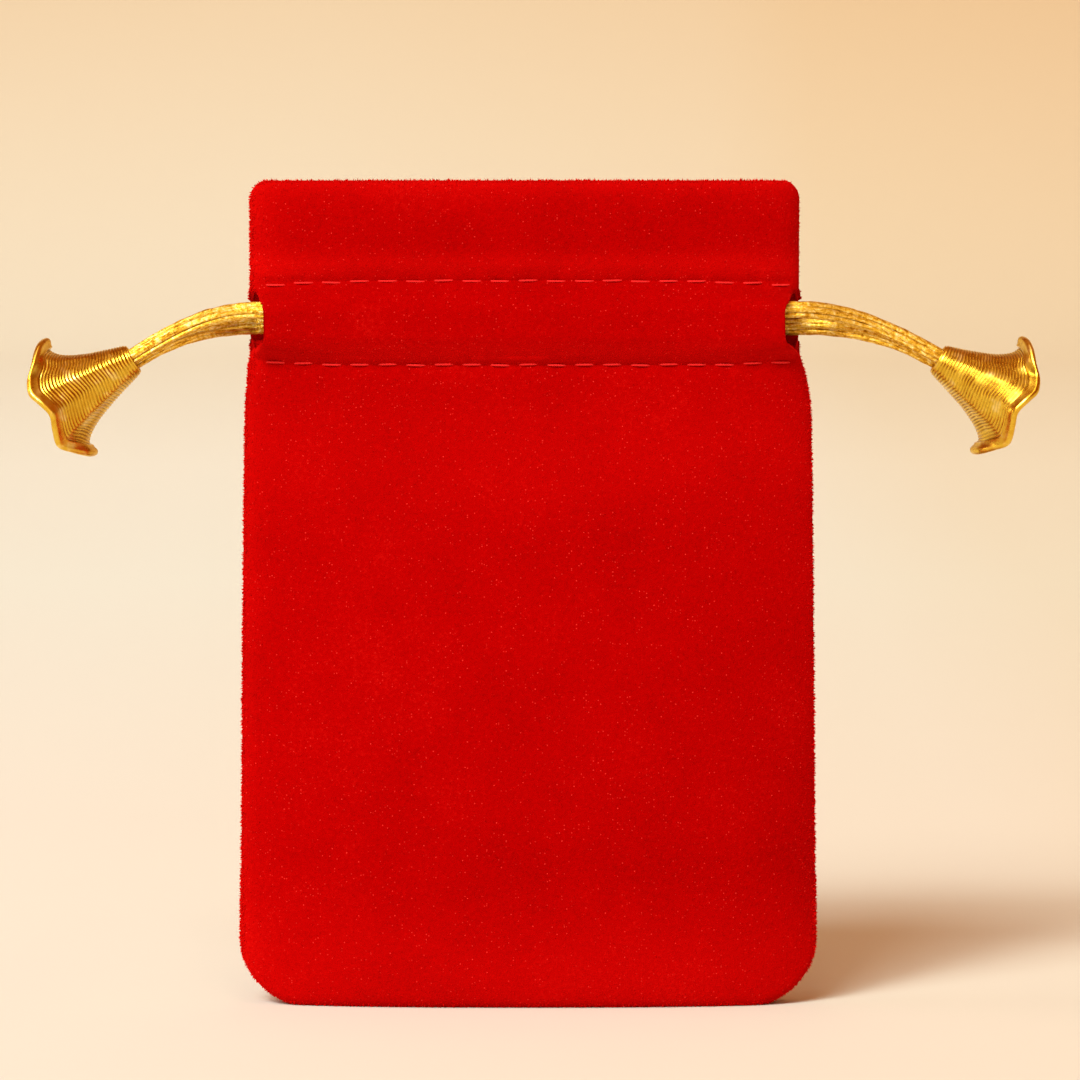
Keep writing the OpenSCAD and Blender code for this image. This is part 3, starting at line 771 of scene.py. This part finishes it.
def puckers(x, z, facing, seed):
    """How far the cloth stands out, in millimetres: soft waves, and puckers along the stitch rows."""
    u, v, w = x * 0.030, seed * 3.1, z * 0.022
    soft = 0.35 * value_noise(u, v, w, seed) + 0.16 * value_noise(u * 2.7, v * 2.7, w * 2.7, seed + 1)
    drape = value_noise(x * 0.105, seed * 1.7, z * 0.018, seed + 2)
    below = np.exp(-np.maximum(ROW_LOW - z, 0) / 16) * (z < ROW_LOW + 2)
    header = smooth((z - ROW_UP) / 4) * 0.75
    channel = smooth((z - ROW_LOW) / 3) * smooth((ROW_UP - z) / 3) * 0.5
    drapes = 0.42 * drape * (below + header + channel)
    near = np.exp(-((z - ROW_LOW) / 2.6) ** 2) + np.exp(-((z - ROW_UP) / 2.6) ** 2)
    wobble = 0.8 * value_noise(x * 0.06, 0, seed, seed + 3)
    tucks = -0.17 * np.cos(2 * np.pi * (x / STITCH_PITCH) + wobble) * near
    line = np.exp(-((z - ROW_LOW) / 0.7) ** 2) + np.exp(-((z - ROW_UP) / 0.7) ** 2)
    return (soft + drapes + tucks - 0.18 * line) * np.where(facing > 0.5, 0.35, 1.0)


def panel_grid(slit, sign_y, seed):
    """The middle of one panel's cloth as a grid of points, and its rows."""
    rows = sampled_rows(slit)
    f = np.abs(COLUMNS[:, 0])[:, None]
    g = COLUMNS[:, 1][:, None]
    sign = np.where(COLUMNS[:, 0] < 0, -1.0, 1.0)[:, None]
    d, z, e, half, open_, seamed, base, facing = (rows[:, k][None, :] for k in range(STEP))
    s = np.clip((z - NECK_START) / (ROW_LOW - NECK_START), 0, 1)
    kept = eased(lens(f), flat_form(f), s)
    kept = kept + (1 - f ** 8 - kept) * np.clip(base, 0, 1)
    kept = kept + (1 - kept) * np.clip(open_, 0, 1)
    y0 = e + (d - e) * kept
    y0 = y0 + (d - y0) * np.clip(open_, 0, 1)
    # round the side: closed rows turn in to the middle plane, seamed ones on into the allowance
    turn = np.clip(g, 0, 1)
    run = np.clip(g - 1, 0, 1)
    closed_y = CLEAR + (y0 - CLEAR) * np.cos(turn * np.pi / 2 * 0.97) * (1 - 0.95 * run)
    closed_x = half + 0.12 * np.sin(turn * np.pi) * (1 - run)
    seam_y = y0 + (LIE - y0) * (1 - np.cos(turn * np.pi)) / 2
    seam_x = half + 0.35 * np.sin(turn * np.pi) - 0.65 * turn - (ALLOWANCE - 0.65) * run
    w = np.clip(seamed, 0, 1)
    turned_y = closed_y + (seam_y - closed_y) * w
    turned_x = closed_x + (seam_x - closed_x) * w
    flat_w = np.clip(np.maximum(open_, facing), 0, 1)
    turned_y = turned_y + (y0 - turned_y) * flat_w
    turned_x = turned_x + (half + 0.1 * g - turned_x) * flat_w
    y = np.where(g > 0, turned_y, y0)
    x = np.where(g > 0, turned_x, f * half)
    rise = corner_drop(f * BASE_HALF - BASE_HALF, CORNER_R)
    drop = corner_drop(f * NECK_HALF - NECK_HALF, TOP_CORNER_R)
    low = (rise + f ** 8 * e * 0.8) * np.maximum(0, 1 - z / 40)
    high = drop * np.maximum(0, (z - POUCH_H + 12) / 12)
    upright = z + (((z - HALF_T) * (1 - f ** 8) + HALF_T) - z) * np.clip(base, 0, 1)
    Z = upright + low - high + stitch_shift(f, z)
    X = sign * x
    # the neck of the soft pouch sits a little to the left of its base
    X = X - np.where(sign > 0, LEAN_RIGHT, LEAN_LEFT) * smooth((z - 130) / 15) * f
    fade = smooth((1.0 - f) / 0.06) * (g == 0) * smooth((z - 2) / 10)
    fade = fade + 0.35 * (1 - fade) * (g == 0) * smooth((z - 2) / 10)
    Y = y + puckers(X, Z, np.broadcast_to(facing, X.shape), seed) * fade * np.clip(y - 1.0, 0, 1)
    return np.stack([X, sign_y * Y, Z], -1), rows


def grid_normals(P):
    """Unit normals of a grid of points."""
    return unit(np.cross(np.gradient(P, axis=0), np.gradient(P, axis=1)))


def blend_gathered(obj):
    """Bakes the object's placement into its mesh and reads its points in millimetres; the points are not used
    further.
    """
    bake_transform(obj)
    co = np.zeros(len(obj.data.vertices) * 3)
    obj.data.vertices.foreach_get("co", co)
    co = co.reshape(-1, 3) / MM


def nap_tufts(P, N, rows, lo, hi, seed):
    """Small closed tufts of pile, thick along the edges and thin on the face, in a repeatable scatter.

    Returns their vertices, their faces and their painted highlight at each vertex, brightest at the tips."""
    rng = np.random.default_rng(seed)
    keep = (rows[:, FACING] < 0.5) & (rows[:, BASE] < 0.5)
    j0 = np.nonzero(keep)[0][:-1]
    i0 = np.arange(lo, hi - 1)
    i0 = i0[(np.abs(COLUMNS[i0, 1]) < 0.9) & (np.abs(COLUMNS[i0 + 1, 1]) < 0.9)]
    a, b = np.meshgrid(i0, j0, indexing="ij")
    a, b = a.ravel(), b.ravel()
    area = np.linalg.norm(np.cross(P[a + 1, b] - P[a, b], P[a, b + 1] - P[a, b]), axis=1)
    x, z = P[a, b, 0], P[a, b, 2]
    inset = np.minimum(side_x(z) - np.abs(x), POUCH_H - z)
    corner = np.hypot(np.maximum(0, np.abs(x) - BASE_HALF + CORNER_R), np.maximum(0, CORNER_R - z))
    inset = np.minimum(inset, np.where(z < CORNER_R, CORNER_R - corner, 99))
    shoulder = np.hypot(np.maximum(0, np.abs(x) - NECK_HALF + TOP_CORNER_R),
                        np.maximum(0, z - POUCH_H + TOP_CORNER_R))
    inset = np.minimum(inset, np.where(z > POUCH_H - TOP_CORNER_R, TOP_CORNER_R - shoulder, 99))
    # tufts on each square millimetre: at the edge, near it, and on the face
    density = np.where(inset < 0.9, 9.0, np.where(inset < 4, 1.8, 0.45))
    count = rng.poisson(area * density)
    a, b = np.repeat(a, count), np.repeat(b, count)
    u, v = rng.random(len(a))[:, None], rng.random(len(a))[:, None]
    base = (P[a, b] * (1 - u) * (1 - v) + P[a + 1, b] * u * (1 - v) + P[a, b + 1] * (1 - u) * v
            + P[a + 1, b + 1] * u * v)
    out = unit(N[a, b] * (1 - u) + N[a + 1, b] * u)
    lean = unit(out + rng.normal(0, 0.35, out.shape) + np.array([0, 0, -0.15]))
    flat = unit(np.cross(out, rng.normal(0, 1, out.shape)))
    across = np.cross(out, flat)
    foot = base + out * (HALF_T - 0.06)
    rim = np.repeat(smooth((2.0 - inset) / 1.4), count)[:, None]
    height = rng.uniform(0.24, 0.44, (len(a), 1)) + rim * rng.uniform(0.0, 0.34, (len(a), 1))
    wide = rng.uniform(0.09, 0.14, (len(a), 1)) + 0.08 * rim
    corners = [foot + wide * (flat * math.cos(q) + across * math.sin(q))
               for q in (0, 2 * math.pi / 3, 4 * math.pi / 3)]
    verts = np.stack([*corners, foot + lean * height], 1).reshape(-1, 3)
    # no tuft goes under the floor
    verts[:, 2] = np.maximum(verts[:, 2], 0.02)
    k = np.arange(len(a))[:, None, None] * 4
    faces = (k + np.array([[0, 2, 1], [0, 1, 3], [1, 2, 3], [2, 0, 3]])[None]).reshape(-1, 3)
    # painted highlight: each tuft's tip is brighter than its foot, more so along the rim
    tips = rng.uniform(0.25, 0.8, len(a)) + 0.2 * rim[:, 0]
    return verts, faces, np.stack([tips * 0.3, tips * 0.3, tips * 0.3, tips], 1).ravel()


# heights of the bands of painted light: over the lower and the upper stitch row, and under the channel
LOW_BAND, UP_BAND, BELLY_BAND = 142.8, 161.5, 121


def painted_cloth_light(P):
    """Painted highlight and painted light on the cloth, as a share: more along the top, along the sides and
    most on the left, over the stitch rows, on the upper belly and at the foot.
    """
    x, z = P[..., 0], P[..., 2]
    side = side_x(z) - np.abs(x)
    # painted light: the side towards the light, the left, is brighter
    left = 0.3 + 0.7 * smooth((20 - x) / 40)
    rim = 0.24 * np.exp(-np.maximum(0, POUCH_H - z) / 2.6) + 0.24 * left * np.exp(-np.maximum(0, side) / 2.8)
    seams = 0.20 * np.exp(-((z - LOW_BAND) / 2.4) ** 2) + 0.16 * np.exp(-((z - UP_BAND) / 3.0) ** 2)
    mottle_and_belly_light = 0.07 * np.exp(-((z - BELLY_BAND) / 14) ** 2)
    return np.clip(rim + seams + mottle_and_belly_light + 0.12 * smooth((32 - z) / 32), 0, 0.34)


def panel_piece(name, P, rows, lo, hi, flip, seed):
    """One half of a panel, columns lo to hi of the grid, as closed cloth with its nap."""
    N = -grid_normals(P) if flip else grid_normals(P)
    m, n = hi - lo, P.shape[1]
    out, inn = (P + N * HALF_T)[lo:hi], (P - N * HALF_T)[lo:hi]
    place = np.arange(m * n).reshape(m, n)
    faces = [grid_faces(m, n, 0), grid_faces(m, n, m * n)]
    for edge in (place[:, 0], place[:, -1], place[0], place[-1]):
        faces.append(np.stack([edge[:-1], edge[:-1] + m * n, edge[1:] + m * n, edge[1:]], 1))
    tuft_verts, tuft_faces, tuft_highlight_paint = nap_tufts(P, N, rows, lo, hi, seed)
    verts = np.vstack([out.reshape(-1, 3), inn.reshape(-1, 3), tuft_verts])
    faces = [f.tolist() for group in faces for f in group] + (tuft_faces + 2 * m * n).tolist()
    obj = make_mesh(name, verts, faces, VELVET, weld=False)
    cloth = painted_cloth_light(P[lo:hi]).ravel()
    pile = obj.data.attributes.new("pile_highlight_paint", "FLOAT", "POINT")
    pile.data.foreach_set("value", np.concatenate([cloth, cloth, tuft_highlight_paint]).astype(np.float32))
    return obj


PANELS = {}
for panel_name, slit, sign_y, seed in (("front", FRONT_SLIT, -1, 4), ("back", BACK_SLIT, 1, 21)):
    P, rows = panel_grid(slit, sign_y, seed)
    mid = P.shape[0] // 2
    PANELS[panel_name] = (P, rows)
    for half_name, lo, hi in (("left", 0, mid + 1), ("right", mid, P.shape[0])):
        obj = panel_piece(f"{panel_name}_panel_{half_name}_half", P, rows, lo, hi, sign_y > 0, seed + lo)
        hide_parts(panel_name + "_panel")
        blend_gathered(obj)


# ------------------------ stitches
def surface_at(P, rows, x, z):
    """The point of the cloth's middle, on its outside, that is nearest to (x, z) as seen from the front."""
    outer = rows[:, FACING] < 0.5
    grid = P[:, outer]
    d = (grid[..., 0] - x) ** 2 + (grid[..., 2] - z) ** 2
    d = d + (np.abs(grid[..., 1]) < 2.0) * 4
    return grid.reshape(-1, 3)[d.argmin()]


def stitch_tube(p, q, mid_lift, sign_y, radius=0.24, rings=9, sink=0.55):
    """A short thread from p to q that lies on the cloth and dives into it at both ends."""
    t = np.linspace(0, 1, rings)
    line = p[None] + (q - p)[None] * t[:, None]
    line[:, 1] += sign_y * (mid_lift - (mid_lift + sink) * np.abs(2 * t - 1) ** 5)
    r = radius * (1 - 0.25 * np.abs(2 * t - 1) ** 4)
    return tube_points(line, r, 10)


THREAD_UV = [3.2, 2.0]


def stitch_rows():
    """The two rows of stitching of each panel, half by half, through the outside and the facing."""
    for panel_name, sign_y in (("front", -1), ("back", 1)):
        P, rows = PANELS[panel_name]
        for row_name, z0 in (("upper", ROW_UP), ("lower", ROW_LOW)):
            for half_name, sign_x in (("left", -1), ("right", 1)):
                parts = []
                count = int((NECK_HALF - 2.5) // STITCH_PITCH)
                reach = STITCH_L / 2
                for i in range(0 if sign_x > 0 else 1, count + 1):
                    x = sign_x * i * STITCH_PITCH
                    f = abs(x) / NECK_HALF
                    jitter = 0.12 * math.sin(i * 2.3 + z0)
                    z = z0 + float(stitch_shift(f, z0)) + jitter * 0.4
                    y_out = [surface_at(P, rows, x + dx, z)[1] + sign_y * HALF_T for dx in (-reach, reach)]
                    a = np.array([x - reach, y_out[0], z])
                    b = np.array([x + reach, y_out[1], z + jitter])
                    parts.append(stitch_tube(a, b, 0.30, sign_y))
                    # the same stitch on the facing, inside the mouth
                    y_in = sign_y * (LIE + (ROW_FACING_Y - LIE) * float(flat_form(min(f * 1.04, 1))) - HALF_T)
                    c = np.array([x - reach, y_in, z])
                    e = np.array([x + reach, y_in, z])
                    parts.append(stitch_tube(c, e, 0.25, -sign_y))
                verts, faces, uvs = joined(parts)
                name = f"{row_name}_stitches_{panel_name}_{half_name}"
                obj = make_mesh(name, verts, faces, THREAD, uvs * THREAD_UV)
                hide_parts(f"{row_name}_stitch_{panel_name}")
                blend_gathered(obj)


stitch_rows()

SEAM_PITCH = 2.5
SEAM_R = 0.22
# the stretches of a side seam, below and above the slit: heights, distance from the side, slope of a thread
SIDE_SEAM = ((28, 131, 2.6, 0.3), (ROW_UP + 3, POUCH_H - 6, 3.2, 0.0))
BASE_SEAM_HALF, BASE_SEAM_PITCH, BASE_SEAM_Z = 48, 3.0, 2.6


def seam_thread(x, z, slope):
    """One thread of a seam, through both panels from front to back."""
    q = np.linspace(-1, 1, 6)
    return tube_points(np.stack([np.full(6, x), q * (LIE + HALF_T + 0.25), z + slope * q], 1), SEAM_R, 8)


def seam_threads():
    for half_name, sign_x in (("left", -1), ("right", 1)):
        parts = [seam_thread(sign_x * (float(side_x(z)) - inset), z, slope)
                 for low, high, inset, slope in SIDE_SEAM for z in np.arange(low, high, SEAM_PITCH)]
        verts, faces, uvs = joined(parts)
        obj = make_mesh(f"{half_name}_side_seam_thread", verts, faces, THREAD, uvs * THREAD_UV)
        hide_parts(f"{half_name}_side_seam")
        blend_gathered(obj)
    places = np.arange(-BASE_SEAM_HALF, BASE_SEAM_HALF + 0.1, BASE_SEAM_PITCH)
    verts, faces, uvs = joined([seam_thread(x, BASE_SEAM_Z, 0.0) for x in places])
    obj = make_mesh("base_seam_thread", verts, faces, THREAD, uvs * THREAD_UV)
    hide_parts("bottom_seam")
    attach(obj, "pouch")


seam_threads()


# ------------------------ floor, backdrop and light
# the paper, in metres: its near edge, wall, height, half width and the radius of its bend
SWEEP_NEAR, SWEEP_WALL, SWEEP_HEIGHT, SWEEP_HALF, SWEEP_BEND = -8.0, 4.6, 3.0, 8.0, 1.6
# its tone changes from near to far, counting each metre up as three back, and a little from left to right:
# painted light and shade, brighter round the set, darker and warmer further back and higher up, and a little
# darker and warmer to the right
PAPER_NEAR, PAPER_FAR = -0.2, 4.6
PAPER_UP = 3.0
PAPER_ACROSS = 0.5
PAPER = ((0.0, (0.79, 0.83, 0.76)), (0.12, (0.80, 0.83, 0.76)), (0.30, (0.81, 0.90, 0.83)),
         (0.45, (0.815, 0.88, 0.80)), (0.70, (0.735, 0.74, 0.62)), (1.0, (0.605, 0.505, 0.345)))
PAPER_SIDE = ((0.35, (1.0, 1.0, 1.0)), (0.62, (0.99, 0.95, 0.90)), (0.69, (0.975, 0.90, 0.80)),
              (0.88, (0.96, 0.86, 0.74)))
SUN_FROM = (-0.38, -0.74, 0.64)
# suns: name, angle across in degrees, strength, colour
SUNS = (("soft_sun", 30.0, 2.75, (0.95, 1.0, 0.96)),
        ("key_sun", 10.0, 0.75, (0.97, 1.0, 1.0)))
# the room round the set, by the height of the direction looked in
WORLD_STOPS = ((0.0, (0.85, 0.70, 0.52)), (0.10, (0.85, 0.70, 0.50)), (0.22, (0.36, 0.10, 0.018)),
               (1.0, (0.44, 0.125, 0.022)))
LIGHT_TARGET = (0, 0, 0.09)
# lamps: name, place, size, power, colour
LIGHTS = (("strip_light", (0.0, -0.30, 1.2), (0.17, 1.5), 2.4, (1.0, 0.88, 0.64)),
          ("side_light", (-1.2, 0.02, 0.45), (0.4, 0.4), 2.2, (1.0, 0.93, 0.85)),
          ("front_light", (0.1, -1.6, 0.35), (1.0, 1.0), 2.6, (1.0, 0.72, 0.45)))


def paper_material():
    n = Nodes("studio_paper")
    at = n.add("ShaderNodeTexCoord").outputs["Object"]
    split = n.add("ShaderNodeSeparateXYZ", {"Vector": at})
    up = n.add("ShaderNodeMath", {0: split.outputs["Z"], 1: PAPER_UP, 2: split.outputs["Y"]},
               operation="MULTIPLY_ADD")
    # painted shade: the paper darkens and warms further back, higher up and to the right
    paper = n.ramp(n.spread(up.outputs[0], PAPER_NEAR, PAPER_FAR), PAPER)
    side = n.ramp(n.spread(split.outputs["X"], -PAPER_ACROSS, PAPER_ACROSS), PAPER_SIDE)
    n.set(Base_Color=n.mix(1.0, paper, side, blend_type="MULTIPLY"), Roughness=0.9, Specular_IOR_Level=0.1)
    return n.owner


def backdrop():
    """One sheet of paper: the floor, a bend and the wall."""
    flat_to = SWEEP_WALL - SWEEP_BEND
    profile = [(SWEEP_NEAR, 0.0), (flat_to, 0.0)]
    profile += [(flat_to + SWEEP_BEND * math.sin(q), SWEEP_BEND - SWEEP_BEND * math.cos(q))
                for q in np.linspace(0, math.pi / 2, 24)[1:]]
    profile.append((SWEEP_WALL, SWEEP_HEIGHT))
    verts = [(x, y, z) for x in (-SWEEP_HALF, SWEEP_HALF) for y, z in profile]
    k = len(profile)
    faces = [(i, i + k, i + k + 1, i + 1) for i in range(k - 1)]
    mesh = bpy.data.meshes.new("studio_sweep")
    mesh.from_pydata(verts, [], faces)
    mesh.polygons.foreach_set("use_smooth", [True] * len(mesh.polygons))
    mesh.materials.append(paper_material())
    sweep = bpy.data.objects.new("studio_sweep", mesh)
    SCENE.collection.objects.link(sweep)


def room():
    """The light that comes from all round, warm and darker above."""
    n = Nodes("studio_world", kept_in="worlds", shader="Background")
    at = n.add("ShaderNodeTexCoord").outputs["Generated"]
    split = n.add("ShaderNodeSeparateXYZ", {"Vector": at})
    n.set(Color=n.ramp(split.outputs["Z"], WORLD_STOPS), Strength=1.0)
    SCENE.world = n.owner


def light_of(name, kind, place, target, power, colour):
    """A light that looks at its target; its data is returned for its size."""
    data = bpy.data.lights.new(name, kind)
    data.energy = power
    data.color = colour
    light = bpy.data.objects.new(name, data)
    SCENE.collection.objects.link(light)
    light.location = place
    look_at(light, target)
    return data


def lights():
    for name, place, size, power, colour in LIGHTS:
        data = light_of(name, "AREA", place, LIGHT_TARGET, power, colour)
        data.shape = "RECTANGLE"
        data.size, data.size_y = size
    for name, angle, strength, colour in SUNS:
        data = light_of(name, "SUN", SUN_FROM, (0, 0, 0), strength, colour)
        data.angle = math.radians(angle)


backdrop()
room()
lights()
SCENE.view_settings.view_transform = "Standard"
